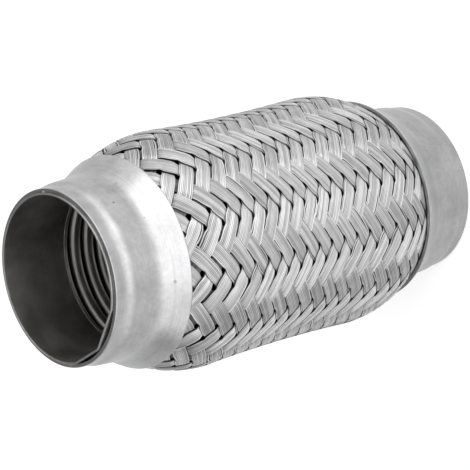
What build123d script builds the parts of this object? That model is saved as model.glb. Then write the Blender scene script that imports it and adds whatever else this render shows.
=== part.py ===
from build123d import *
from math import cos, radians, sin, sqrt, tan
import os

os.makedirs("parts", exist_ok=True)

# Flexible exhaust connector: a two-ply bellows inside a woven steel sleeve, with a
# formed collar over each end. Millimetres. The axis is Z and the connector stands on
# its outlet end. A depth is a distance along the axis from the nearer end.

# Whole connector
overall_length = 152.4
pipe_radius = 25.4

# Bellows: two thin plies formed together, with a plain cuff at each end
slip_clearance = 0.2
bellows_wall = 0.6
cuff_length = 23.6
fold_count = 20
fold_height = 7.2
fold_wall = 1.5
fold_set_back = 0.1

# Dent in the inlet cuff: two flats that meet at a kink resting on the collar
dent_start_angle = -120
dent_kink_angle = -154
dent_end_angle = -182
dent_depth = 9.0

# Collars: a land at the rim, a step over the sleeve's end, a neck and a flared skirt
collar_wall = 1.2
collar_fit = 0.05
collar_set_back = 0.6
rim_chamfer = 0.4
land_depth = 4.6
step_depth = 6.8
step_rise = 0.9
neck_rise = 0.6
collar_length = 25.1
skirt_rise = 4.45
skirt_angle = 27
skirt_bend_radius = 15

# Tack welds in the corner between each cuff and its collar
tack_radius = 0.55
tack_angles = (-10, -189)

# Woven sleeve: its wall, and the shape of its shoulders and waist
sleeve_wall = 1.6
crimped_wall = 0.62
sleeve_end_depth = 8.0
shoulder_depth = 45.0
shoulder_radius = 37.4
waist_dip = 0.8

# Weave: flat ribbons in both directions, each over two and under two
ribbon_count = 24
ribbon_pitch = 5.36
pitch_growth = 0.0044
weave_shift = 0.18
weave_angle = -84
ribbon_rise = 0.3
ribbon_edge_drop = 0.3

# Gaps at the tips of the chevrons, on the second and third place from each end
gap_steps = (2, 3)
gap_share = 0.3
waist_ring_count = 5

# Clearances between the nested pieces
sleeve_clearance = 0.1
fold_clearance = 0.4
skirt_clearance = 0.35
crimp_margin = 0.4

# Sizes that follow from those above
middle = overall_length / 2
bore_radius = pipe_radius + slip_clearance
cuff_radius = bore_radius + bellows_wall
land_radius = cuff_radius + collar_fit + collar_wall
neck_radius = land_radius + step_rise
neck_end_radius = neck_radius + neck_rise
skirt_radius = neck_end_radius + skirt_rise
skirt_lean = radians(skirt_angle)
bend_depth = collar_length - skirt_rise / tan(skirt_lean)
entry_radius = skirt_radius - collar_wall / cos(skirt_lean) - skirt_clearance - ribbon_rise
shoulder_height = shoulder_radius - entry_radius
shoulder_reach = shoulder_depth - collar_length
shoulder_curve = (shoulder_height**2 + shoulder_reach**2) / (2 * shoulder_height)
row_count = 2 * ribbon_count
row_angle = 360 / row_count
side_count = ribbon_count
flat_share = cos(radians(180 / side_count))


def ring_point(radius, angle, height):
    """Point on a ring around the axis, with its angle in degrees."""
    return Vector(radius * cos(radians(angle)), radius * sin(radians(angle)), height)


def row_direction(row):
    """Angle of a row of the weave. Rows run along the axis, two for each ribbon."""
    return weave_angle - row_angle * row


def side_ring(flat_radius, height):
    """Corners of a many-sided ring. Each flat faces two rows of the weave."""
    corner_radius = flat_radius / flat_share
    return [ring_point(corner_radius, row_direction(2 * side + 0.5), height) for side in range(side_count)]


def polygon_face(*points):
    """Flat face with straight edges through the points."""
    return Face(Wire.make_polygon(points, close=True))


def side_faces(lower, upper):
    """One flat face on each side between two rings of corners."""
    faces = []
    for side in range(side_count):
        after = (side + 1) % side_count
        faces.append(polygon_face(lower[side], lower[after], upper[after], upper[side]))
    return faces


def sleeve_radius(height):
    """Radius of the sleeve: straight under the skirts, with round shoulders and a
    shallow waist between them."""
    depth = min(height, overall_length - height)
    if depth < collar_length:
        return entry_radius - (collar_length - depth) * tan(skirt_lean)
    if depth < shoulder_depth:
        drop = shoulder_depth - depth
        return shoulder_radius - shoulder_curve + sqrt(shoulder_curve**2 - drop**2)
    waist_share = (middle - depth) / (middle - shoulder_depth)
    return shoulder_radius - waist_dip * (1 - waist_share**2)


# Collars, each one revolved sheet with its skirt cut square to the sheet
def collar_line(shift, bend_shift):
    """Points along one face of the collar's sheet, from the rim to the skirt's bend."""
    return [
        (land_radius + shift, collar_set_back),
        (land_radius + shift, land_depth),
        (neck_radius + shift, step_depth),
        (neck_end_radius + shift, bend_depth + bend_shift),
    ]


skirt_edge_inside = (
    skirt_radius - collar_wall * cos(skirt_lean),
    collar_length + collar_wall * sin(skirt_lean),
)

with BuildPart() as outlet_collar:
    with BuildSketch(Plane.XZ) as collar_section:
        with BuildLine():
            Polyline(
                *collar_line(0, 0),
                (skirt_radius, collar_length),
                skirt_edge_inside,
                *reversed(collar_line(-collar_wall, collar_wall * tan(skirt_lean / 2))),
                close=True,
            )
        make_face()
        bends = collar_section.vertices().filter_by_position(Axis.Y, bend_depth - 1, bend_depth + 1)
        fillet(bends, skirt_bend_radius)
        rim_corner = collar_section.vertices().group_by(Axis.Y)[0].sort_by(Axis.X)[-1]
        chamfer(rim_corner, rim_chamfer)
    revolve(axis=Axis.Z)

with BuildPart() as inlet_collar:
    add(outlet_collar.part)
    mirror(about=Plane.XY.offset(middle), mode=Mode.REPLACE)


# Tack welds: a short bead in the corner between the cuff and the collar's rim
with BuildPart() as outlet_tack_welds:
    for angle in tack_angles:
        with BuildSketch(Plane.XZ.rotated((0, 0, angle))):
            with Locations((cuff_radius, collar_set_back)):
                Circle(tack_radius)
        extrude(amount=tack_radius, both=True)
    Cylinder(cuff_radius, 4 * tack_radius, mode=Mode.SUBTRACT)
    split(bisect_by=Plane.XY.offset(collar_set_back), keep=Keep.BOTTOM)

with BuildPart() as inlet_tack_welds:
    add(outlet_tack_welds.part)
    mirror(about=Plane.XY.offset(middle), mode=Mode.REPLACE)


# Bellows: its folds have flat sides, and they stay inside the sleeve's shoulders
def fold_rings(inset):
    """Rings through every root and crest, from the outlet's cuff to the inlet's."""
    half_fold = (middle - cuff_length) / fold_count
    root = bore_radius + fold_set_back + fold_wall
    rings = []
    for half in range(2 * fold_count + 1):
        height = cuff_length + half * half_fold
        crest_limit = sleeve_radius(height) - sleeve_wall - fold_clearance
        crest = min(root + fold_height, crest_limit)
        radius = crest if half % 2 else root
        rings.append(side_ring(radius - inset, height))
    return rings


def bellows_folds():
    """Solid of the folds, closed at each end by a flat ring over the cuff."""
    rings = fold_rings(0) + fold_rings(fold_wall)[::-1]
    faces = []
    for lower, upper in zip(rings, rings[1:] + rings[:1]):
        faces += side_faces(lower, upper)
    return Solid(Shell(faces))


def dent_sector(radius, height, dented):
    """Sector of a disc across the cuff, over the dent. Its edge is two arcs, or two flats
    where it is dented."""
    angles = (dent_start_angle, dent_kink_angle, dent_end_angle)
    with BuildSketch(Plane.XY.offset(height)) as sector:
        with BuildLine():
            Line((0, 0), ring_point(radius, dent_start_angle, 0))
            for first, last in zip(angles, angles[1:]):
                start = ring_point(radius, first, 0)
                end = ring_point(radius, last, 0)
                if dented:
                    Line(start, end)
                else:
                    ThreePointArc(start, ring_point(radius, (first + last) / 2, 0), end)
            Line(ring_point(radius, dent_end_angle, 0), (0, 0))
        make_face()
    return sector.sketch


def dent_sectors(radius):
    """The two sectors that the dented part of the cuff runs between."""
    return [dent_sector(radius, dent_foot, False), dent_sector(radius, overall_length, True)]


dent_foot = overall_length - dent_depth

with BuildPart() as bellows:
    with BuildSketch() as cuff_ring:
        Circle(cuff_radius)
        Circle(bore_radius, mode=Mode.SUBTRACT)
    extrude(amount=cuff_length)
    with BuildSketch(Plane.XY.offset(overall_length - cuff_length)):
        add(cuff_ring.sketch)
    extrude(amount=cuff_length)
    extrude(dent_sector(cuff_radius, dent_foot, False), amount=dent_depth, mode=Mode.SUBTRACT)
    loft(dent_sectors(cuff_radius), ruled=True)
    loft(dent_sectors(bore_radius), ruled=True, mode=Mode.SUBTRACT)
    add(bellows_folds(), clean=False)


# Woven sleeve. The edges of the ribbons meet at weave points, and a place counts
# ribbons along a row, from the middle towards the outlet.
def place_height(place):
    """Height of a place. The ribbons open out towards both collars."""
    turns = place + weave_shift
    return middle - ribbon_pitch * turns - pitch_growth * turns**3


def last_place(step):
    """Last place of the weave before a collar's neck, in steps of 1 or -1."""
    weave_end_depth = bend_depth + crimp_margin
    place = 0
    while weave_end_depth < place_height(place + step) < overall_length - weave_end_depth:
        place += step
    return place


outlet_last = last_place(1)
inlet_last = last_place(-1)
gap_places = [outlet_last - step for step in gap_steps] + [inlet_last + step for step in gap_steps]


def woven_point(row, place, lift):
    """Point of the weave, lifted above the sleeve's own surface."""
    height = place_height(place)
    return ring_point(sleeve_radius(height) + lift, row_direction(row), height)


def is_gap(row, place):
    """Whether the ribbons leave a gap at this point. Chevron tips are on two rows of
    every four."""
    return (row % 4 == 0 and place in gap_places) or (row % 4 == 3 and place + 0.5 in gap_places)


def gap_corner(row, place, end_row, end_place):
    """Corner of a gap, on the ribbon edge that runs from it to another point."""
    start = woven_point(row, place, -ribbon_edge_drop)
    end = woven_point(end_row, end_place, -ribbon_edge_drop)
    return start + (end - start) * gap_share


def outline_points(ring, index):
    """One point of a ribbon's outline, or two where a gap takes its corner off."""
    row, place = ring[index]
    if not is_gap(row, place):
        return [woven_point(row, place, -ribbon_edge_drop)]
    return [gap_corner(row, place, *ring[index - 1]), gap_corner(row, place, *ring[(index + 1) % len(ring)])]


def float_faces(row, place, lean):
    """Facets of one float, where a ribbon lies over two others. It is high over both
    crossings and low along its outline. The lean is 1 or -1, the ribbon's direction."""
    half = lean / 2
    steps = ((0, -half), (-1, 0), (0, half), (1, lean), (2, half), (1, 0))
    ring = [(row + row_step, place + place_step) for row_step, place_step in steps]
    outline = [outline_points(ring, index) for index in range(len(ring))]
    first = woven_point(row, place, ribbon_rise)
    second = woven_point(row + 1, place + half, ribbon_rise)
    first_edge = outline[5] + outline[0] + outline[1] + outline[2][:1]
    second_edge = outline[2] + outline[3] + outline[4] + outline[5][:1]
    faces = [polygon_face(first, a, b) for a, b in zip(first_edge, first_edge[1:])]
    faces += [polygon_face(second, a, b) for a, b in zip(second_edge, second_edge[1:])]
    faces.append(polygon_face(first, second, outline[2][0]))
    faces.append(polygon_face(first, second, outline[5][0]))
    return faces


def sleeve_end_faces(first_place, bend_height, end_height):
    """Crimped end of the sleeve, from the last weave points to its inner edge."""
    edge = []
    for row in range(row_count + 1):
        edge.append(woven_point(row, first_place + abs(2 - row % 4) / 2, -ribbon_edge_drop))
    inner = cuff_radius + sleeve_clearance
    crimped = inner + crimped_wall
    bend_ring = side_ring(crimped, bend_height)
    end_ring = side_ring(crimped, end_height)
    faces = side_faces(bend_ring, end_ring) + side_faces(end_ring, side_ring(inner, end_height))
    for side in range(side_count):
        corner = bend_ring[side]
        next_corner = bend_ring[(side + 1) % side_count]
        before, between, after = edge[2 * side : 2 * side + 3]
        faces.append(polygon_face(before, between, corner))
        faces.append(polygon_face(between, next_corner, corner))
        faces.append(polygon_face(between, after, next_corner))
    return faces


def gap_faces(row, place, flat, lower, upper):
    """Side walls of one gap, and its outline on the flat inside the sleeve."""
    tip = 1 if row % 4 == 3 else -1
    ends = ((row + tip, place + 0.5), (row + tip, place - 0.5), (row - tip, place - 0.5))
    outer = [gap_corner(row, place, *end) for end in ends]
    inner = []
    for point in outer:
        share = (point.Z - lower.Z) / (upper.Z - lower.Z)
        reach = lower.dot(flat) + share * (upper - lower).dot(flat)
        inner.append(point + flat * (reach - point.dot(flat)))
    walls = []
    for index in range(len(outer)):
        walls.append(polygon_face(outer[index - 1], outer[index], inner[index], inner[index - 1]))
    return walls, Wire.make_polygon(inner, close=True)


def inner_band_faces(lower, upper, place):
    """Inside of the sleeve between two rings, with the gaps that open through it."""
    faces = []
    for side in range(side_count):
        after = (side + 1) % side_count
        outline = Wire.make_polygon((lower[side], lower[after], upper[after], upper[side]), close=True)
        flat = ring_point(1, row_direction(2 * side + 1.5), 0)
        holes = []
        for row in (2 * side + 1, 2 * side + 2):
            if is_gap(row, place):
                walls, hole = gap_faces(row, place, flat, lower[side], upper[side])
                faces += walls
                holes.append(hole)
        faces.append(Face(outline, holes))
    return faces


def inner_ring(height):
    """Ring inside the sleeve, which rests on the cuffs at both ends."""
    return side_ring(max(cuff_radius + sleeve_clearance, sleeve_radius(height) - sleeve_wall), height)


def inner_places():
    """Places of the rings inside the sleeve. They are half a ribbon apart beside the gaps,
    so that a band between two rings has all the gaps of one place at its middle."""
    by_outlet = [outlet_last - 1.75 - ring / 2 for ring in range(5)]
    by_inlet = [inlet_last + 3.25 - ring / 2 for ring in range(5)]
    waist_step = (by_outlet[-1] - by_inlet[0]) / (waist_ring_count + 1)
    waist = [by_outlet[-1] - waist_step * (ring + 1) for ring in range(waist_ring_count)]
    return [outlet_last - 0.75, *by_outlet, *waist, *by_inlet, inlet_last + 0.75]


def sleeve_inside_faces():
    """Whole inside of the sleeve, with one band of flats at each place of gaps."""
    grip_drop = entry_radius - sleeve_wall - cuff_radius - sleeve_clearance
    grip_depth = collar_length - grip_drop / tan(skirt_lean)
    places = inner_places()
    rings = [inner_ring(place_height(place)) for place in places]
    faces = []
    for index in range(len(rings) - 1):
        place = (places[index] + places[index + 1]) / 2
        faces += inner_band_faces(rings[index], rings[index + 1], place)
    for first_ring, sign, end_height in ((rings[0], 1, 0), (rings[-1], -1, overall_length)):
        grip_ring = inner_ring(end_height + sign * grip_depth)
        end_ring = inner_ring(end_height + sign * sleeve_end_depth)
        faces += side_faces(first_ring, grip_ring) + side_faces(grip_ring, end_ring)
    return faces


def woven_solid():
    """Solid of the whole sleeve, sewn from its facets."""
    faces = sleeve_inside_faces()
    faces += sleeve_end_faces(outlet_last - 1, bend_depth, sleeve_end_depth)
    faces += sleeve_end_faces(inlet_last, overall_length - bend_depth, overall_length - sleeve_end_depth)
    for row in range(0, row_count, 4):
        for place in range(inlet_last + 1, outlet_last):
            faces += float_faces(row - 2, place - 0.5, 1)
            faces += float_faces(row, place + 0.5, -1)
    return Solid(Shell(faces))


with BuildPart() as outer_braid:
    add(woven_solid(), clean=False)


outlet_collar.part.label = "outlet_collar"
export_step(outlet_collar.part, "parts/outlet_collar.step")

inlet_collar.part.label = "inlet_collar"
export_step(inlet_collar.part, "parts/inlet_collar.step")

outlet_tack_welds.part.label = "outlet_tack_welds"
export_step(outlet_tack_welds.part, "parts/outlet_tack_welds.step")

inlet_tack_welds.part.label = "inlet_tack_welds"
export_step(inlet_tack_welds.part, "parts/inlet_tack_welds.step")

bellows.part.label = "bellows"
export_step(bellows.part, "parts/bellows.step")

outer_braid.part.label = "outer_braid"
export_step(outer_braid.part, "parts/outer_braid.step")
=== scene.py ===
import bpy
import numpy as np
from bpy.props import FloatProperty, FloatVectorProperty, IntProperty, PointerProperty
from mathutils import Euler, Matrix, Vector


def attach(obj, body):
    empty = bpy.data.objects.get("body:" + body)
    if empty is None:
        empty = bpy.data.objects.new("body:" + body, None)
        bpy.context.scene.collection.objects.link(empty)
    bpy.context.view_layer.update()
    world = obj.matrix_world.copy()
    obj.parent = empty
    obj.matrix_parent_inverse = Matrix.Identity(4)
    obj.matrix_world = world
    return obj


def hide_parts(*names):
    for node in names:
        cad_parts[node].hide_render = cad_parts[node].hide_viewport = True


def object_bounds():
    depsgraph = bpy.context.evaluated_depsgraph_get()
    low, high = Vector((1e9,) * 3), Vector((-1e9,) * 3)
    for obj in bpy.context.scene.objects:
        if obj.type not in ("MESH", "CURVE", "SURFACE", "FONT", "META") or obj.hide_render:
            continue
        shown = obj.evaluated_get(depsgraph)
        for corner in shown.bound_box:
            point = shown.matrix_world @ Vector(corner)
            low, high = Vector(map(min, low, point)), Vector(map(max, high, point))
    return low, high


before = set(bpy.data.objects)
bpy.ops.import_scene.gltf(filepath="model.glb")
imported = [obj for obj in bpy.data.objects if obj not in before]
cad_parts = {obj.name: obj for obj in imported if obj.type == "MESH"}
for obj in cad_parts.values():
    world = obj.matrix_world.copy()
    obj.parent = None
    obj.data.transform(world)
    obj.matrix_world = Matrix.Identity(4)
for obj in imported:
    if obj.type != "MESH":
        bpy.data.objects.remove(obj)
cad_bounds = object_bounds()

bl_info = {
    "name": "Flexible exhaust connector",
    "version": (1, 0, 0),
    "blender": (4, 5, 0),
    "location": "View3D > Sidebar > Connector",
    "description": "Makes the woven sleeve, bellows and collars of a flexible exhaust connector",
    "category": "Add Mesh",
}

MM = 0.001

# The connector stands on its outlet end, its axis is Z and a depth is measured along it
# from the nearer end.
total_length = cad_bounds[1][2]
middle = total_length / 2

# The faces that the pieces share, as the solids have them
bore_radius = 25.6 * MM
cuff_radius = 26.2 * MM
cuff_length = 23.6 * MM
collar_set_back = 0.6 * MM
collar_wall = 1.2 * MM
collar_length = 25.1 * MM
skirt_lean = np.radians(27)


class ConnectorCollars(bpy.types.PropertyGroup):
    """Sizes and finish of the two formed collars."""

    land_radius: FloatProperty(
        name="Land radius", description="Outside of the straight land at the rim",
        default=27.45 * MM, unit="LENGTH")
    neck_radius: FloatProperty(
        name="Neck radius", description="Outside of the neck, after the step",
        default=28.35 * MM, unit="LENGTH")
    neck_end_radius: FloatProperty(
        name="Neck end radius", description="Outside of the neck where the skirt begins",
        default=28.95 * MM, unit="LENGTH")
    skirt_radius: FloatProperty(
        name="Skirt radius", description="Outside of the skirt's edge",
        default=33.4 * MM, unit="LENGTH")
    steps: IntProperty(
        name="Steps around", description="Steps around each collar", default=240)
    colour: FloatVectorProperty(
        name="Colour", description="Colour of the collars' satin steel", subtype="COLOR",
        default=(0.44, 0.44, 0.445))


class ConnectorBellows(bpy.types.PropertyGroup):
    """Sizes and finish of the two-ply bellows and its cuffs."""

    fold_count: IntProperty(name="Folds", description="Folds between the cuffs", default=20)
    fold_height: FloatProperty(
        name="Fold height", description="Height of a fold over its root",
        default=7.2 * MM, unit="LENGTH")
    ply: FloatProperty(
        name="Ply", description="Thickness of one ply", default=0.28 * MM, unit="LENGTH")
    dent_depth: FloatProperty(
        name="Dent depth", description="How far down the inlet cuff the dent reaches",
        default=9.0 * MM, unit="LENGTH")
    steps: IntProperty(
        name="Steps around", description="Steps around the cuffs", default=240)
    fold_steps: IntProperty(
        name="Fold steps", description="Steps around the folds", default=72)
    colour: FloatVectorProperty(
        name="Colour", description="Colour of the bellows' steel", subtype="COLOR",
        default=(0.58, 0.57, 0.56))


class ConnectorSleeve(bpy.types.PropertyGroup):
    """Sizes and finish of the woven sleeve."""

    ribbon_count: IntProperty(
        name="Ribbons", description="Ribbons in each direction", default=24)
    wire_count: IntProperty(name="Wires", description="Wires in each ribbon", default=9)
    ribbon_width: FloatProperty(
        name="Ribbon width", description="Narrowest that a ribbon gets, beside the collars",
        default=3.8 * MM, unit="LENGTH")
    edge_gap: FloatProperty(
        name="Edge gap", description="Room between a ribbon's edge and the middle of the gap",
        default=0.18 * MM, unit="LENGTH")
    end_gap: FloatProperty(
        name="End gap", description="How much more room there is at the skirts' edges",
        default=0.32 * MM, unit="LENGTH")
    tip_gap: FloatProperty(
        name="Tip gap", description="How far the edges draw in at the chevrons' tips",
        default=0.38 * MM, unit="LENGTH")
    wire_width: FloatProperty(
        name="Wire width", description="Width of one wire", default=0.50 * MM, unit="LENGTH")
    wire_height: FloatProperty(
        name="Wire height", description="Height of one wire", default=0.26 * MM, unit="LENGTH")
    lift: FloatProperty(
        name="Lift", description="Rise and fall of a ribbon as it passes over and under",
        default=0.27 * MM, unit="LENGTH")
    steps_per_crossing: IntProperty(
        name="Steps per crossing", description="Steps along a wire between two crossings",
        default=5)
    colour: FloatVectorProperty(
        name="Colour", description="Colour of the left-leaning wires' steel", subtype="COLOR",
        default=(0.67, 0.67, 0.67))
    # The right-leaning wires are the same steel painted darker: a shaded copy standing in for the
    # gloss that they miss.
    shaded_copy_colour: FloatVectorProperty(
        name="Darker colour", description="Colour of the right-leaning wires' steel",
        subtype="COLOR", default=(0.58, 0.58, 0.58))


class ConnectorStage(bpy.types.PropertyGroup):
    """Camera, lamps and floor."""

    camera_distance: FloatProperty(
        name="Camera distance", description="Distance of the camera from the axis",
        default=615.6 * MM, unit="LENGTH")
    camera_height: FloatProperty(
        name="Camera height", description="Height of the camera over the floor",
        default=600.4 * MM, unit="LENGTH")
    camera_pan: FloatProperty(
        name="Pan", description="Turn of the camera from the axis",
        default=np.radians(0.07), subtype="ANGLE")
    camera_tilt: FloatProperty(
        name="Tilt", description="How far down the camera looks",
        default=np.radians(40.2), subtype="ANGLE")
    camera_roll: FloatProperty(
        name="Roll", description="Turn of the camera about its own line of sight",
        default=np.radians(-104.6), subtype="ANGLE")
    lens: FloatProperty(
        name="Lens", description="Focal length in millimetres", default=194.55)
    floor_colour: FloatVectorProperty(
        name="Floor colour", description="Colour of the pale floor", subtype="COLOR",
        default=(0.86, 0.86, 0.86))


# Shapes as arrays of points
def rounded_path(points, radii, steps):
    """Points along a bent line whose corners are rounded. A corner becomes the quadratic
    curve between the points at its tangent length before and after it, where the tangent
    length is the radius times the tangent of half the turn."""
    points = np.array(points, float)
    path = [points[:1]]
    share = np.linspace(0, 1, steps)[:, None]
    for before, corner, after, radius in zip(points, points[1:], points[2:], radii):
        way_in = (corner - before) / np.linalg.norm(corner - before)
        way_out = (after - corner) / np.linalg.norm(after - corner)
        turn = np.arccos(np.clip(way_in @ way_out, -1, 1))
        reach = radius * np.tan(turn / 2)
        start = corner - way_in * reach
        end = corner + way_out * reach
        path.append((1 - share) ** 2 * start + 2 * share * (1 - share) * corner + share**2 * end)
    path.append(points[-1:])
    return np.concatenate(path)


def subdivided(path, spacing):
    """The same line with more points, so that none is further than the spacing from the
    next. The points are spread evenly along each straight stretch."""
    pieces = []
    for start, end in zip(path, path[1:]):
        count = max(1, int(np.ceil(np.linalg.norm(end - start) / spacing)))
        pieces.append(start + (end - start) * np.arange(count)[:, None] / count)
    pieces.append(path[-1:])
    return np.concatenate(pieces)


def ring_points(radius, angle, height):
    """Points at a radius and an angle around the axis, where X is the radius times the
    angle's cosine and Y the radius times its sine. All three are arrays alike."""
    return np.stack([radius * np.cos(angle), radius * np.sin(angle), height], axis=-1)


def grid_quads(rows, columns, close_rows, close_columns):
    """Corner numbers of the quads of a grid of points, which may close on itself. A
    point's number is its row times the columns, plus its column."""
    row = np.arange(rows if close_rows else rows - 1)
    column = np.arange(columns if close_columns else columns - 1)
    row, column = (a.ravel() for a in np.meshgrid(row, column, indexing="ij"))
    next_row = (row + 1) % rows
    next_column = (column + 1) % columns
    return np.stack([
        row * columns + column,
        next_row * columns + column,
        next_row * columns + next_column,
        row * columns + next_column,
    ], axis=-1)


def outward(points, quads):
    """The quads, turned round if they point inwards. The signed volume is the sum over
    the quads' two triangles of a sixth of the triple product of their corners."""
    a, b, c, d = (points[quads[:, corner]] for corner in range(4))
    volume = np.einsum("ij,ij->", a, np.cross(b, c)) + np.einsum("ij,ij->", a, np.cross(c, d))
    return quads if volume > 0 else quads[:, ::-1]


def mesh_piece(name, points, quads, corner_uv, material, slot, *replaced, smooth=None, over=None):
    """New piece from arrays of points, quads and the quads' corner coordinates. It rides
    on the connector, and stands for the solid that it replaces. Only the quads that are
    marked smooth are shaded round, or all of them. Each point may keep how far over or
    under the crossing ribbons it lies."""
    mesh = bpy.data.meshes.new(name)
    mesh.vertices.add(len(points))
    mesh.vertices.foreach_set("co", points.astype(np.float32).ravel())
    mesh.loops.add(quads.size)
    mesh.loops.foreach_set("vertex_index", quads.astype(np.int32).ravel())
    mesh.polygons.add(len(quads))
    mesh.polygons.foreach_set("loop_start", np.arange(0, quads.size, 4, dtype=np.int32))
    mesh.update(calc_edges=True)
    if smooth is None:
        smooth = np.ones(len(quads), bool)
    mesh.polygons.foreach_set("use_smooth", smooth)
    if over is not None:
        kept = mesh.attributes.new("over", "FLOAT", "POINT")
        kept.data.foreach_set("value", over.astype(np.float32).ravel())
    layer = mesh.uv_layers.new(name="surface")
    layer.data.foreach_set("uv", corner_uv.astype(np.float32).ravel())
    mesh.validate()
    mesh.materials.append(material)
    piece = bpy.data.objects.new(name, mesh)
    bpy.context.scene.collection.objects.link(piece)
    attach(piece, "root")
    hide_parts(*replaced)


def turned_surface(profile, steps, change=None):
    """Points, quads and corner coordinates of a closed profile turned about the axis. A
    profile point is a radius and a height. The change function takes the grids of radius,
    angle and height, and returns the radius that the finished surface has. The first
    corner coordinate is the length around, and the second the length along the profile."""
    angle = np.linspace(0, 2 * np.pi, steps, endpoint=False)
    radius, turn = np.meshgrid(profile[:, 0], angle, indexing="ij")
    height = np.repeat(profile[:, 1][:, None], steps, axis=1)
    if change:
        radius = change(radius, turn, height)
    points = ring_points(radius, turn, height).reshape(-1, 3)
    quads = grid_quads(len(profile), steps, True, True)
    along = np.linalg.norm(np.diff(profile, axis=0, append=profile[:1]), axis=1)
    along = np.concatenate([[0], np.cumsum(along)])
    around = np.linspace(0, 2 * np.pi * profile[:, 0].mean(), steps + 1)
    grid = np.meshgrid(np.arange(len(profile)), np.arange(steps), indexing="ij")
    row, column = (a.ravel() for a in grid)
    corner_uv = np.stack([
        np.stack([around[column], along[row]], axis=-1),
        np.stack([around[column], along[row + 1]], axis=-1),
        np.stack([around[column + 1], along[row + 1]], axis=-1),
        np.stack([around[column + 1], along[row]], axis=-1),
    ], axis=1)
    facing = outward(points, quads)
    if facing is not quads:
        corner_uv = corner_uv[:, ::-1]
    return points, facing, corner_uv


def from_end(profile, inlet):
    """The profile with its depths turned into heights, from the inlet or the outlet."""
    height = total_length - profile[:, 1] if inlet else profile[:, 1]
    return np.stack([profile[:, 0], height], axis=-1)


# Materials
def new_material(name):
    """New node material, with its nodes and its links."""
    material = bpy.data.materials.new(name)
    material.use_nodes = True
    return material, material.node_tree.nodes, material.node_tree.links


def add_node(nodes, kind, **inputs):
    """Node of a kind with some of its input sockets set by name."""
    node = nodes.new(kind)
    for name, value in inputs.items():
        node.inputs[name.replace("_", " ")].default_value = value
    return node


def stretched_noise(nodes, links, scale):
    """Noise on the piece's own surface coordinates, in cycles per metre each way, or per
    wire across a ribbon."""
    surface = nodes.new("ShaderNodeUVMap")
    surface.uv_map = "surface"
    mapping = add_node(nodes, "ShaderNodeMapping", Scale=(scale[0], scale[1], 1))
    noise = add_node(nodes, "ShaderNodeTexNoise", Scale=1.0, Detail=3.0, Roughness=0.6)
    links.new(surface.outputs["UV"], mapping.inputs["Vector"])
    links.new(mapping.outputs["Vector"], noise.inputs["Vector"])
    return noise.outputs["Fac"]


def object_noise(nodes, links, scale, detail):
    """Noise on object coordinates, in cycles per metre."""
    place = nodes.new("ShaderNodeTexCoord")
    noise = add_node(nodes, "ShaderNodeTexNoise", Scale=scale, Detail=detail, Roughness=0.6)
    links.new(place.outputs["Object"], noise.inputs["Vector"])
    return noise.outputs["Fac"]


def ranged(nodes, links, source, low, high):
    """The source's usual range, 0.3 to 0.7 in a noise, mapped to low and high."""
    spread = add_node(nodes, "ShaderNodeMapRange",
                      From_Min=0.3, From_Max=0.7, To_Min=low, To_Max=high)
    links.new(source, spread.inputs["Value"])
    return spread.outputs["Result"]


def product(nodes, links, first, second):
    """One value times another."""
    node = nodes.new("ShaderNodeMath")
    node.operation = "MULTIPLY"
    links.new(first, node.inputs[0])
    links.new(second, node.inputs[1])
    return node.outputs["Value"]


def shaded_colour(nodes, links, colour, shade):
    """The colour times a shade worked out by other nodes."""
    mix = nodes.new("ShaderNodeVectorMath")
    mix.operation = "SCALE"
    mix.inputs[0].default_value = colour
    links.new(shade, mix.inputs["Scale"])
    return mix.outputs["Vector"]


def add_bump(nodes, links, shader, height, distance, strength):
    """Small relief on the shader's surface."""
    bump = add_node(nodes, "ShaderNodeBump", Strength=strength, Distance=distance)
    links.new(height, bump.inputs["Height"])
    links.new(bump.outputs["Normal"], shader.inputs["Normal"])


def axis_shade(nodes, links, near, far, shade):
    """Shade that goes evenly with the distance from the axis, from 1 at the near one to
    the given shade at the far one."""
    place = nodes.new("ShaderNodeTexCoord")
    flat = nodes.new("ShaderNodeVectorMath")
    flat.operation = "MULTIPLY"
    flat.inputs[1].default_value = (1, 1, 0)
    links.new(place.outputs["Object"], flat.inputs[0])
    reach = nodes.new("ShaderNodeVectorMath")
    reach.operation = "LENGTH"
    links.new(flat.outputs["Vector"], reach.inputs[0])
    light = add_node(nodes, "ShaderNodeMapRange",
                     From_Min=near, From_Max=far, To_Min=1.0, To_Max=shade)
    links.new(reach.outputs["Value"], light.inputs["Value"])
    return light.outputs["Result"]


def end_depth(nodes, links):
    """Distance along the axis from the nearer end, which is half the length less the
    distance from the middle."""
    place = nodes.new("ShaderNodeTexCoord")
    split = nodes.new("ShaderNodeSeparateXYZ")
    links.new(place.outputs["Object"], split.inputs["Vector"])
    from_middle = nodes.new("ShaderNodeMath")
    from_middle.operation = "SUBTRACT"
    from_middle.inputs[1].default_value = middle
    links.new(split.outputs["Z"], from_middle.inputs[0])
    reach = nodes.new("ShaderNodeMath")
    reach.operation = "ABSOLUTE"
    links.new(from_middle.outputs["Value"], reach.inputs[0])
    depth = nodes.new("ShaderNodeMath")
    depth.operation = "SUBTRACT"
    depth.inputs[0].default_value = middle
    links.new(reach.outputs["Value"], depth.inputs[1])
    return depth.outputs["Value"]


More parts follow.
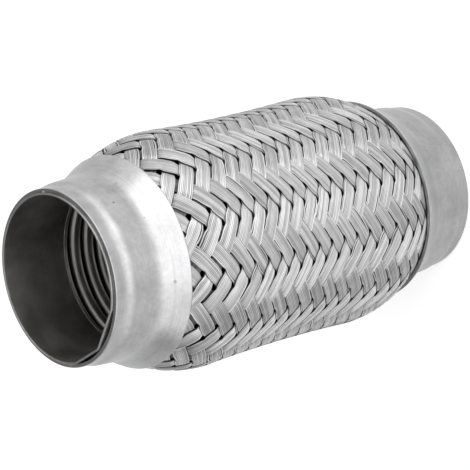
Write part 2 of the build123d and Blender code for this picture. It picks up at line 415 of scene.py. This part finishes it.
def ring_shade(nodes, links, depth, half_width, shade, broken):
    """Thin darker ring at a depth, broken up along its length by noise."""
    away = nodes.new("ShaderNodeMath")
    away.operation = "SUBTRACT"
    away.inputs[1].default_value = depth
    links.new(end_depth(nodes, links), away.inputs[0])
    distance = nodes.new("ShaderNodeMath")
    distance.operation = "ABSOLUTE"
    links.new(away.outputs["Value"], distance.inputs[0])
    mask = add_node(nodes, "ShaderNodeMapRange",
                    From_Min=half_width, From_Max=0.0, To_Min=0.0, To_Max=1.0)
    links.new(distance.outputs["Value"], mask.inputs["Value"])
    breaks = ranged(nodes, links, stretched_noise(nodes, links, broken), 0.0, 1.0)
    strength = product(nodes, links, mask.outputs["Result"], breaks)
    light = add_node(nodes, "ShaderNodeMapRange", To_Min=1.0, To_Max=shade)
    links.new(strength, light.inputs["Value"])
    return light.outputs["Result"]


def spot_shade(nodes, links, radius, angle, depth, size, shade):
    """Small dark pit on the inlet collar, at an angle and a depth from the rim. It is as
    dark as the shade in its core, and fades evenly from there to its size."""
    core = size * 0.4
    centre = (radius * np.cos(angle), radius * np.sin(angle), total_length - depth)
    place = nodes.new("ShaderNodeTexCoord")
    away = nodes.new("ShaderNodeVectorMath")
    away.operation = "DISTANCE"
    away.inputs[1].default_value = centre
    links.new(place.outputs["Object"], away.inputs[0])
    light = add_node(nodes, "ShaderNodeMapRange",
                     From_Min=core, From_Max=size, To_Min=shade, To_Max=1.0)
    links.new(away.outputs["Value"], light.inputs["Value"])
    return light.outputs["Result"]


# Patterns of the sheet steel, in cycles per metre around and along, or every way
turning_lines = (40, 9000)
spot_scale = 800
cloud_scale = 130
fine_detail = 6.0

# Where the bellows gets painted shade deep under the sleeve, as distances from the axis, and how
# dark it gets
painted_shade_start = 28 * MM
painted_shade_end = 30.5 * MM
painted_shade_darkest = 0.06


def satin_steel(name, colour, roughness, grain, clouds, painted_shade_under_sleeve=False, marks=()):
    """Satin sheet steel: fine lines run around the axis, over broad faint clouds. The
    grain is the share of light that the lines take, and the clouds' share is theirs. Steel
    with painted shade under the sleeve is darkened where it lies deep under the sleeve and
    little light reaches it. Marks are functions that make more shades."""
    material, nodes, links = new_material(name)
    shader = nodes["Principled BSDF"]
    shader.inputs["Metallic"].default_value = 1.0
    lines = stretched_noise(nodes, links, turning_lines)
    spots = object_noise(nodes, links, spot_scale, fine_detail)
    cloud = object_noise(nodes, links, cloud_scale, fine_detail)
    shade = product(nodes, links, ranged(nodes, links, lines, 1 - grain, 1.0),
                    ranged(nodes, links, cloud, 1 - clouds, 1.0))
    shade = product(nodes, links, shade, ranged(nodes, links, spots, 1 - grain / 2, 1.0))
    for mark in marks:
        shade = product(nodes, links, shade, mark(nodes, links))
    # Painted shade: the steel is darkened with its distance from the axis, deep under the sleeve,
    # so the weave's gaps look black.
    if painted_shade_under_sleeve:
        painted_shade = axis_shade(nodes, links, painted_shade_start, painted_shade_end, painted_shade_darkest)
        shade = product(nodes, links, shade, painted_shade)
    links.new(shaded_colour(nodes, links, colour, shade), shader.inputs["Base Color"])
    rough = ranged(nodes, links, cloud, roughness - 0.04, roughness + 0.05)
    links.new(rough, shader.inputs["Roughness"])
    add_bump(nodes, links, shader, spots, distance=0.05 * MM, strength=0.6)
    return material


def numbered_shade(nodes, links, count, group, darkest):
    """Shade that is the same all along a wire, or a group of wires that lie together. It
    is random in the count, a wire's number, divided by the group's size and rounded
    down."""
    number = nodes.new("ShaderNodeMath")
    number.operation = "DIVIDE"
    number.inputs[1].default_value = group
    links.new(count, number.inputs[0])
    whole = nodes.new("ShaderNodeMath")
    whole.operation = "FLOOR"
    links.new(number.outputs["Value"], whole.inputs[0])
    random = nodes.new("ShaderNodeTexWhiteNoise")
    random.noise_dimensions = "1D"
    links.new(whole.outputs["Value"], random.inputs["W"])
    shade = add_node(nodes, "ShaderNodeMapRange", To_Min=darkest, To_Max=1.0)
    links.new(random.outputs["Value"], shade.inputs["Value"])
    return shade.outputs["Result"]


# Streaks of the drawn wire, in cycles per metre along it and per wire across
drawing_streaks = (120, 0.5)
wire_roughness = 0.42


def wire_steel(name, colour, wire_count):
    """Drawn wire: each ribbon and each wire has its own shade, with faint streaks along
    it, and painted shade in the groove on both sides. What lies under another ribbon gets
    painted shade too. The gloss is stretched across the wires, as on a bundle of round ones."""
    material, nodes, links = new_material(name)
    shader = nodes["Principled BSDF"]
    shader.inputs["Metallic"].default_value = 1.0
    surface = nodes.new("ShaderNodeUVMap")
    surface.uv_map = "surface"
    split = nodes.new("ShaderNodeSeparateXYZ")
    links.new(surface.outputs["UV"], split.inputs["Vector"])
    number = split.outputs["Y"]
    shade = product(nodes, links,
                    numbered_shade(nodes, links, number, group=1, darkest=0.56),
                    numbered_shade(nodes, links, number, group=wire_count, darkest=0.93))
    streaks = stretched_noise(nodes, links, drawing_streaks)
    shade = product(nodes, links, shade, ranged(nodes, links, streaks, 0.9, 1.0))
    # Painted shade: the sides of each wire are darkened, as the shade in the groove between wires.
    across = nodes.new("ShaderNodeMath")
    across.operation = "PINGPONG"
    across.inputs[1].default_value = 0.5
    links.new(number, across.inputs[0])
    groove = add_node(nodes, "ShaderNodeMapRange",
                      From_Min=0.34, From_Max=0.45, To_Min=0.3, To_Max=1.0)
    links.new(across.outputs["Value"], groove.inputs["Value"])
    shade = product(nodes, links, shade, groove.outputs["Result"])
    # Painted shade: what lies under another ribbon is darkened by how far under it is.
    over = nodes.new("ShaderNodeAttribute")
    over.attribute_name = "over"
    painted_under_shade = add_node(nodes, "ShaderNodeMapRange",
                      From_Min=-0.9, From_Max=-0.3, To_Min=0.2, To_Max=1.0)
    links.new(over.outputs["Fac"], painted_under_shade.inputs["Value"])
    shade = product(nodes, links, shade, painted_under_shade.outputs["Result"])
    links.new(shaded_colour(nodes, links, colour, shade), shader.inputs["Base Color"])
    shader.inputs["Anisotropic"].default_value = 0.9
    shader.inputs["Anisotropic Rotation"].default_value = 0.25
    tangent = nodes.new("ShaderNodeTangent")
    tangent.direction_type = "UV_MAP"
    tangent.uv_map = "surface"
    links.new(tangent.outputs["Tangent"], shader.inputs["Tangent"])
    rough = ranged(nodes, links, streaks, wire_roughness - 0.05, wire_roughness + 0.07)
    links.new(rough, shader.inputs["Roughness"])
    return material


def seen_rays(nodes, links):
    """One where the camera sees a thing, straight or in metal, and otherwise none."""
    rays = nodes.new("ShaderNodeLightPath")
    seen = nodes.new("ShaderNodeMath")
    seen.operation = "MAXIMUM"
    links.new(rays.outputs["Is Camera Ray"], seen.inputs[0])
    links.new(rays.outputs["Is Glossy Ray"], seen.inputs[1])
    return seen.outputs["Value"]


# How much the floor glows, and between which distances its glow rises, and how far
floor_glow = 0.43
glow_near = 0.4
glow_far = 1.2
glow_rise = 1.6


def floor_finish(name, colour):
    """Matt pale floor. Camera and mirror rays see it a little brighter by its glow, and
    more so far from the lamps, so that it reads as white and still shows the shadow."""
    material, nodes, links = new_material(name)
    shader = nodes["Principled BSDF"]
    shader.inputs["Base Color"].default_value = (*colour, 1)
    shader.inputs["Roughness"].default_value = 0.9
    strength = nodes.new("ShaderNodeMath")
    strength.operation = "MULTIPLY"
    strength.inputs[1].default_value = floor_glow
    links.new(seen_rays(nodes, links), strength.inputs[0])
    rise = axis_shade(nodes, links, glow_near, glow_far, glow_rise)
    glow = product(nodes, links, strength.outputs["Value"], rise)
    shader.inputs["Emission Color"].default_value = (1, 1, 1, 1)
    links.new(glow, shader.inputs["Emission Strength"])
    return material


# Collars
def collar_profile(settings):
    """Closed outline of a collar's sheet, as radius and depth: straight runs joined by
    rounded bends, out along the outer face and back along the inner one."""
    wall = collar_wall
    flare = settings.skirt_radius - settings.neck_end_radius
    bend_depth = collar_length - flare / np.tan(skirt_lean)
    edge_inside = (
        settings.skirt_radius - wall * np.cos(skirt_lean),
        collar_length + wall * np.sin(skirt_lean),
    )
    land_end = 4.3 * MM
    step_end = 7.1 * MM
    corners = [
        (settings.land_radius - wall / 2, collar_set_back),
        (settings.land_radius, collar_set_back),
        (settings.land_radius, land_end),
        (settings.neck_radius, step_end),
        (settings.neck_end_radius, bend_depth),
        (settings.skirt_radius, collar_length),
        edge_inside,
        (settings.neck_end_radius - wall, bend_depth + wall * np.tan(skirt_lean / 2)),
        (settings.neck_radius - wall, step_end),
        (settings.land_radius - wall, land_end),
        (settings.land_radius - wall, collar_set_back),
        (settings.land_radius - wall / 2, collar_set_back),
    ]
    rim_outside, rim_inside, step_bend, skirt_bend, skirt_edge = 0.45, 0.2, 7, 9, 0.3
    radii = np.array([
        rim_outside, step_bend, step_bend, skirt_bend, skirt_edge,
        skirt_edge, skirt_bend, step_bend, step_bend, rim_inside,
    ]) * MM
    return subdivided(rounded_path(corners, radii, steps=6), spacing=0.8 * MM)[:-1]


def cut_edge(nodes, links):
    """Rough cut edge at the rim, with short radial lines."""
    return ring_shade(nodes, links, depth=collar_set_back, half_width=0.3 * MM,
                      shade=0.7, broken=(1500, 40))


def painted_groove_shade(nodes, links):
    """Painted shade of the shallow groove left by forming, part of the way along the skirt."""
    # Painted shade: a dark broken ring stands in for the shade in the groove, which the shape
    # lacks.
    return ring_shade(nodes, links, depth=20.4 * MM, half_width=0.6 * MM,
                      shade=0.86, broken=(60, 300))


def upper_scratches(nodes, links):
    """Fine broken scratches near the skirt's edge."""
    return ring_shade(nodes, links, depth=22.4 * MM, half_width=0.3 * MM,
                      shade=0.88, broken=(150, 300))


def neck_pit(nodes, links):
    """Pit on the neck."""
    return spot_shade(nodes, links, radius=28.7 * MM, angle=np.radians(-52),
                      depth=11 * MM, size=0.45 * MM, shade=0.25)


def bend_pit(nodes, links):
    """Pit at the foot of the skirt."""
    return spot_shade(nodes, links, radius=29.6 * MM, angle=np.radians(-68),
                      depth=17 * MM, size=0.4 * MM, shade=0.3)


def high_pit(nodes, links):
    """Pit at the foot of the skirt, further round."""
    return spot_shade(nodes, links, radius=29.6 * MM, angle=np.radians(-38),
                      depth=17 * MM, size=0.4 * MM, shade=0.3)


def skirt_scuff(nodes, links):
    """Small scuff in the forming groove."""
    return spot_shade(nodes, links, radius=31.0 * MM, angle=np.radians(-108),
                      depth=20.4 * MM, size=0.7 * MM, shade=0.6)


class CONNECTOR_OT_collars(bpy.types.Operator):
    """Make the formed collar at each end"""

    bl_idname = "connector.collars"
    bl_label = "Make collars"

    def execute(self, context):
        settings = context.scene.connector_collars
        marks = (
            cut_edge,
            painted_groove_shade,
            upper_scratches,
            neck_pit,
            bend_pit,
            high_pit,
            skirt_scuff,
        )
        steel = satin_steel("collar_satin_steel", settings.colour, roughness=0.34,
                            grain=0.24, clouds=0.28, marks=marks)
        profile = collar_profile(settings)
        for name, inlet in (("inlet_collar_sheet", True), ("outlet_collar_sheet", False)):
            surface = turned_surface(from_end(profile, inlet), settings.steps)
            replaced = "inlet_collar" if inlet else "outlet_collar"
            mesh_piece(name, *surface, steel, "collar_steel", replaced)
        return {"FINISHED"}


# Bellows
dent_start = np.radians(-120)
dent_kink = np.radians(-154)
dent_end = np.radians(-182)

# Half of a root's and of a crest's straight run as shares of half the pitch, the bends'
# radius as a share of that run, and the room that the crests leave under the sleeve
root_share = 0.66
crest_share = 0.30
bend_share = 0.95
sleeve_room = 2.4 * MM


def dented_radius(radius, angle, height, dent_depth):
    """Radius of the inlet cuff once its rim is dented. Between the start and the kink,
    and between the kink and the end, the rim runs straight, so its radius there is the
    chord's distance over the cosine of the angle from the chord's middle. The dent fades
    evenly to nothing at its depth."""
    turn = (angle - dent_end) % (2 * np.pi) + dent_end
    dented = radius.copy()
    for first, last in ((dent_kink, dent_start), (dent_end, dent_kink)):
        inside = (turn > first) & (turn < last)
        chord = radius * np.cos((last - first) / 2) / np.cos(turn - (first + last) / 2)
        dented = np.where(inside, chord, dented)
    share = np.clip(1 - (total_length - height) / dent_depth, 0, 1)
    return radius + (dented - radius) * share


def ply_profile(inner, outer, length):
    """Closed outline of one ply of a cuff, as radius and depth, with its rim rounded."""
    centre = (inner + outer) / 2
    corners = [(centre, 0), (outer, 0), (outer, length), (inner, length), (inner, 0), (centre, 0)]
    rim_round, end_round = 0.12, 0.05
    radii = np.array([rim_round, end_round, end_round, rim_round]) * MM
    return subdivided(rounded_path(corners, radii, steps=5), spacing=3 * MM)[:-1]


def fold_profile(settings):
    """Closed outline of the folds' wall, as radius and height. The wall's middle runs
    straight across each root and crest and up each flank, with rounded bends, and the
    two faces are set off from it by half the wall along its normal."""
    wall = cuff_radius - bore_radius
    root = bore_radius + wall / 2
    half_pitch = (middle - cuff_length) / settings.fold_count
    root_half = half_pitch * root_share
    crest_half = half_pitch * crest_share
    corners = []
    radii = []
    for half in range(2 * settings.fold_count + 1):
        height = cuff_length + half * half_pitch
        limit = sleeve_radius(np.array(height)) - sleeve_room
        crest = half % 2
        radius = min(root + settings.fold_height, float(limit)) if crest else root
        half_flat = crest_half if crest else root_half
        corners += [(radius, height - half_flat), (radius, height + half_flat)]
        radii += [half_flat * bend_share] * 2
    corners[0] = (root, cuff_length)
    corners[-1] = (root, total_length - cuff_length)
    path = rounded_path(corners, radii[1:-1], steps=5)
    way = np.gradient(path, axis=0)
    way /= np.linalg.norm(way, axis=1)[:, None]
    normal = np.stack([way[:, 1], -way[:, 0]], axis=-1)
    return np.concatenate([path + normal * wall / 2, (path - normal * wall / 2)[::-1]])


class CONNECTOR_OT_bellows(bpy.types.Operator):
    """Make the bellows' folds and the two plies of its cuffs"""

    bl_idname = "connector.bellows"
    bl_label = "Make bellows"

    def execute(self, context):
        settings = context.scene.connector_bellows
        steel = satin_steel("bellows_steel", settings.colour, roughness=0.32,
                            grain=0.16, clouds=0.25, painted_shade_under_sleeve=True)

        def dent(radius, angle, height):
            """Radius of the cuff with this connector's depth of dent."""
            return dented_radius(radius, angle, height, settings.dent_depth)

        plies = (
            ("inner_ply", bore_radius, bore_radius + settings.ply),
            ("outer_ply", cuff_radius - settings.ply, cuff_radius),
        )
        for end, inlet in (("inlet", True), ("outlet", False)):
            for name, inner, outer in plies:
                profile = from_end(ply_profile(inner, outer, cuff_length), inlet)
                surface = turned_surface(profile, settings.steps, dent if inlet else None)
                mesh_piece(f"{end}_cuff_{name}", *surface, steel, "bellows_steel", "bellows")
        surface = turned_surface(fold_profile(settings), settings.fold_steps)
        mesh_piece("bellows_folds", *surface, steel, "bellows_steel", "bellows")
        return {"FINISHED"}


# Woven sleeve
shoulder_radius = 37.4 * MM
shoulder_depth = 45.0 * MM
shoulder_curve = 36 * MM
waist_dip = 0.8 * MM

# Where the weave lies on the sleeve, with its places counted in ribbons
ribbon_pitch = 5.36 * MM
pitch_growth = 0.0044 * MM
weave_shift = 0.18
weave_angle = np.radians(-84)
sleeve_reach = 10.1
skirt_place = 9.0
weave_sink = 0.13 * MM

# How sharply a ribbon goes over and under, how long a tip's hole is in crossings, and how
# far the steps along a ribbon are drawn together, in ribbons
over_sharpness = 3.8
hole_half_length = 0.19
step_draw = 0.048

# How the wires stray, how much the ribbons crown, and the half-width of a wire's flat top
wire_wander = 0.012 * MM
wire_flutter = 0.004 * MM
stray_start = 0.35
stray_reach = 0.6 * MM
ribbon_crown = 0.06 * MM
wire_top = 0.43

# Step of the second surface coordinate from one corner of a wire's section to the next
corner_step = 0.2


def sleeve_radius(height):
    """Radius of the sleeve: parallel to the skirt below it, then a circular shoulder and
    a shallow parabolic waist."""
    depth = np.minimum(height, total_length - height)
    drop = shoulder_depth - np.clip(depth, collar_length, shoulder_depth)
    shoulder = shoulder_radius - shoulder_curve + np.sqrt(shoulder_curve**2 - drop**2)
    under_skirt = shoulder - (collar_length - depth) * np.tan(skirt_lean)
    waist_share = (middle - depth) / (middle - shoulder_depth)
    waist = shoulder_radius - waist_dip * (1 - waist_share**2)
    stretches = [depth < collar_length, depth < shoulder_depth]
    return np.select(stretches, [under_skirt, shoulder], waist)


def place_height(place):
    """Height of a place of the weave, counted in ribbons from the middle towards the
    outlet: the middle, less the pitch times the place and a small cubic term."""
    turns = place + weave_shift
    return middle - ribbon_pitch * turns - pitch_growth * turns**3


def over_and_under(crossings):
    """Height of a ribbon between -1 and 1, over two crossings and under the next two. It
    is the sine of a cosine wave that is clipped flat where the ribbon lies over or under."""
    wave = np.cos(np.pi * (crossings - 2.5) / 2)
    return np.sin(np.pi / 2 * np.clip(over_sharpness * wave, -1, 1))


def slow_waves(random, shape, length, height):
    """Smooth random waves along the wires, one line of them for each. Each is the mean of
    three sine waves with their own phases, times the height."""
    place = np.linspace(0, 2 * np.pi, length)
    waves = np.zeros((*shape, length))
    for turns in (3, 7, 13):
        phase = random.uniform(0, 2 * np.pi, shape)[..., None]
        waves += np.sin(turns * place + phase) / 3
    return waves * height


def wire_faces(along, wires, first_wire):
    """Quads, corner coordinates and flat tops of a number of wires. Each is a tube of
    four-cornered sections with a cap at both ends. The first corner coordinate is the
    length along the wire. The second is the wire's number, plus a step for each corner
    of the section."""
    steps = len(along)
    quads = grid_quads(steps, 4, False, True)
    last = 4 * steps - 1
    caps = np.array([[0, 1, 2, 3], [last, last - 1, last - 2, last - 3]])
    quads = np.concatenate([quads, caps])
    corner = np.arange(4 * steps)
    across = corner_step + corner_step * (corner % 4)
    uv = np.stack([along[corner // 4], across], axis=-1)[quads]
    wire = np.arange(wires)
    top = np.tile(np.all(np.isin(quads % 4, (1, 2)), axis=1), wires)
    quads = (quads[None] + 4 * steps * wire[:, None, None]).reshape(-1, 4)
    uv = np.broadcast_to(uv, (wires, *uv.shape)).copy()
    uv[..., 1] += (wire + first_wire)[:, None, None]
    return quads, uv.reshape(-1, 4, 2), top


def ribbon_set(settings, ribbons, side, random):
    """Points, quads and corner coordinates of some of the ribbons that lean one way, with
    the quads that are flat tops and how far over each point lies.

    Along a ribbon the place goes from end to end, in steps that a sine wave draws together
    at the gaps between the ribbons that it crosses. The ribbon turns two rows of the weave
    for each place, one way or the other by its side, and is over and under the ribbons that
    lean the other way in turn. Each edge of the ribbon keeps a gap from the middle between
    two ribbons. The gap grows with the fourth power of the place, and has a flat-topped
    bell curve over each of the two holes at a chevron's tip. The wires share the width
    between the edges evenly. A wire's section has four corners, set off sideways and
    outwards."""
    steps = int(4 * sleeve_reach * settings.steps_per_crossing)
    place = np.linspace(-sleeve_reach, sleeve_reach, steps)
    place = place - step_draw * np.sin(4 * np.pi * (place - 0.25))
    row_turn = np.pi / settings.ribbon_count
    start = np.array(ribbons)[:, None, None, None] + 0.5
    centre = place[None, None, :, None]

    pitch = -np.gradient(place_height(place), place)
    across = sleeve_radius(place_height(place)) * row_turn
    spacing = pitch * across / np.hypot(across, pitch / 2)

    shape = (len(ribbons), settings.wire_count)
    share = np.linspace(-1, 1, settings.wire_count)[None, :, None]
    crossings = side * (2 * centre - 2 * start)

    gap = settings.edge_gap + settings.end_gap * (place / skirt_place) ** 4

    def half_width(edge):
        """Distance of the edge's outer wire from the ribbon's middle."""
        from_tip = np.abs((crossings[..., 0] - side * edge + 2.5) % 4 - 2)
        tip = np.exp(-(((from_tip - 0.5) / hole_half_length) ** 4))
        half = np.maximum(spacing / 2 - gap, settings.ribbon_width / 2)
        return half - settings.tip_gap * tip - settings.wire_width / 2

    aside = share * ((1 + share) / 2 * half_width(0.5) + (1 - share) / 2 * half_width(-0.5))
    aside = aside + slow_waves(random, shape, steps, wire_wander)
    stray = np.clip(slow_waves(random, shape, steps, 1.0) - stray_start, 0, None) * stray_reach
    outermost = np.abs(share) == 1
    aside += np.where(outermost, np.sign(share) * stray, 0)
    rise = slow_waves(random, shape, steps, wire_flutter) - ribbon_crown * share**2

    section = np.array([(-0.5, -0.5), (-wire_top, 0.5), (wire_top, 0.5), (0.5, -0.5)])
    sideways = aside[..., None] + section[:, 0] * settings.wire_width
    offset = sideways / spacing[None, None, :, None]
    rows = crossings - side * offset
    over = side * over_and_under(crossings)
    height = place_height(centre + offset / 2)
    radius = sleeve_radius(height) - weave_sink + settings.lift * over + rise[..., None]
    radius = radius + section[:, 1] * settings.wire_height
    points = ring_points(radius, weave_angle - row_turn * rows, height)

    along = (place + sleeve_reach) * 2 * ribbon_pitch
    wires = len(ribbons) * settings.wire_count
    quads, uv, top = wire_faces(along, wires, settings.wire_count * ribbons[0])
    return points.reshape(-1, 3), quads, uv, top, np.broadcast_to(over, radius.shape)


class CONNECTOR_OT_sleeve(bpy.types.Operator):
    """Make the woven sleeve, wire by wire"""

    bl_idname = "connector.sleeve"
    bl_label = "Make woven sleeve"

    def execute(self, context):
        settings = context.scene.connector_sleeve
        # One wire steel in a lit and a shaded copy: the right-leaning wires are painted darker, as
        # shade.
        lit_copy = wire_steel("painted_lit_wire_steel", settings.colour, settings.wire_count)
        shaded_copy = wire_steel("painted_shaded_wire_steel", settings.shaded_copy_colour, settings.wire_count)
        random = np.random.default_rng(7)
        half = settings.ribbon_count // 2
        for name, side, steel in (("right_leaning", 1, shaded_copy), ("left_leaning", -1, lit_copy)):
            for part in (0, 1):
                ribbons = np.arange(part * half, (part + 1) * half)
                points, quads, uv, top, over = ribbon_set(settings, ribbons, side, random)
                facing = outward(points, quads)
                if facing is not quads:
                    uv = uv[:, ::-1]
                mesh_piece(f"{name}_ribbons_{part + 1}", points, facing, uv, steel,
                           "braid_steel", "outer_braid", smooth=top, over=over)
        return {"FINISHED"}


# Tack welds
weld_colour = (0.5, 0.49, 0.48)
weld_scale = 900


class CONNECTOR_OT_welds(bpy.types.Operator):
    """Give the tack welds their finish"""

    bl_idname = "connector.welds"
    bl_label = "Finish tack welds"

    def execute(self, context):
        material, nodes, links = new_material("weld_steel")
        shader = nodes["Principled BSDF"]
        shader.inputs["Metallic"].default_value = 1.0
        shader.inputs["Roughness"].default_value = 0.4
        cloud = object_noise(nodes, links, weld_scale, detail=3.0)
        shade = ranged(nodes, links, cloud, 0.5, 1.0)
        links.new(shaded_colour(nodes, links, weld_colour, shade), shader.inputs["Base Color"])
        for node in ("inlet_tack_welds", "outlet_tack_welds"):
            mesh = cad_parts[node].data
            mesh.materials.clear()
            mesh.materials.append(material)
        return {"FINISHED"}


# Stage
floor_reach = 6.0
world_light = 0.42
lamp_height = 0.37
lamp_rise = 0.6

# Name, place over the floor, width and power of each lamp
lamps = (
    ("key_lamp", (0.50, -0.87), 0.9, 5.3),
    ("front_lamp", (-0.26, -0.97), 0.8, 4.8),
    ("left_lamp", (-0.87, -0.48), 0.9, 3.6),
    ("right_lamp", (0.98, 0.05), 0.9, 3),
    ("upper_lamp", (0.90, -0.48), 0.6, 3.3),
)


def area_lamp(name, place, target, size, power):
    """Wide soft lamp at a place, pointing at the target."""
    light = bpy.data.lights.new(name, "AREA")
    light.shape = "RECTANGLE"
    light.size, light.size_y = size
    light.energy = power
    lamp = bpy.data.objects.new(name, light)
    lamp.location = place
    lamp.rotation_euler = (Vector(target) - Vector(place)).to_track_quat("-Z", "Y").to_euler()
    lamp.visible_camera = False
    bpy.context.scene.collection.objects.link(lamp)


class CONNECTOR_OT_stage(bpy.types.Operator):
    """Make the floor, the lamps, the world and the camera"""

    bl_idname = "connector.stage"
    bl_label = "Make stage"

    def execute(self, context):
        settings = context.scene.connector_stage
        scene = context.scene
        scene.view_settings.view_transform = "Standard"

        reach = floor_reach
        corners = [(-reach, -reach, 0), (reach, -reach, 0), (reach, reach, 0), (-reach, reach, 0)]
        mesh = bpy.data.meshes.new("floor")
        mesh.from_pydata(corners, [], [(0, 1, 2, 3)])
        mesh.materials.append(floor_finish("pale_floor", settings.floor_colour))
        floor = bpy.data.objects.new("floor", mesh)
        scene.collection.objects.link(floor)

        world = bpy.data.worlds.new("studio")
        world.use_nodes = True
        nodes, links = world.node_tree.nodes, world.node_tree.links
        sky = nodes["Background"]
        sky.inputs["Color"].default_value = (1, 1, 1, 1)
        rays = nodes.new("ShaderNodeLightPath")
        strength = add_node(nodes, "ShaderNodeMapRange", To_Min=world_light, To_Max=1.0)
        links.new(rays.outputs["Is Camera Ray"], strength.inputs["Value"])
        links.new(strength.outputs["Result"], sky.inputs["Strength"])
        scene.world = world

        for name, place, width, power in lamps:
            area_lamp(name, (*place, lamp_height), (0, 0, middle), (width, lamp_rise), power)

        camera = bpy.data.cameras.new("camera")
        camera.sensor_width = 36
        camera.lens = settings.lens
        eye = bpy.data.objects.new("camera", camera)
        eye.location = (0, -settings.camera_distance, settings.camera_height)
        look = Euler((np.pi / 2 - settings.camera_tilt, 0, settings.camera_pan), "XYZ").to_matrix()
        roll = Euler((0, 0, settings.camera_roll), "XYZ").to_matrix()
        eye.rotation_euler = (look @ roll).to_euler()
        scene.collection.objects.link(eye)
        scene.camera = eye
        return {"FINISHED"}


class CONNECTOR_PT_panel(bpy.types.Panel):
    """Panel that lists the connector's pieces"""

    bl_idname = "CONNECTOR_PT_panel"
    bl_label = "Flexible connector"
    bl_space_type = "VIEW_3D"
    bl_region_type = "UI"
    bl_category = "Connector"

    def draw(self, context):
        for operator in operators:
            self.layout.operator(operator.bl_idname)


groups = {
    "connector_collars": ConnectorCollars,
    "connector_bellows": ConnectorBellows,
    "connector_sleeve": ConnectorSleeve,
    "connector_stage": ConnectorStage,
}
operators = (
    CONNECTOR_OT_collars,
    CONNECTOR_OT_bellows,
    CONNECTOR_OT_sleeve,
    CONNECTOR_OT_welds,
    CONNECTOR_OT_stage,
)


def register():
    """Add the settings, the operators and the panel to Blender."""
    for name, group in groups.items():
        bpy.utils.register_class(group)
        setattr(bpy.types.Scene, name, PointerProperty(type=group))
    for item in (*operators, CONNECTOR_PT_panel):
        bpy.utils.register_class(item)


def unregister():
    """Take them away again, in the opposite order."""
    for item in (CONNECTOR_PT_panel, *reversed(operators)):
        bpy.utils.unregister_class(item)
    for name, group in reversed(groups.items()):
        delattr(bpy.types.Scene, name)
        bpy.utils.unregister_class(group)


def main():
    """Make the whole scene."""
    register()
    bpy.ops.connector.collars()
    bpy.ops.connector.bellows()
    bpy.ops.connector.sleeve()
    bpy.ops.connector.welds()
    bpy.ops.connector.stage()


if __name__ == "__main__":
    main()
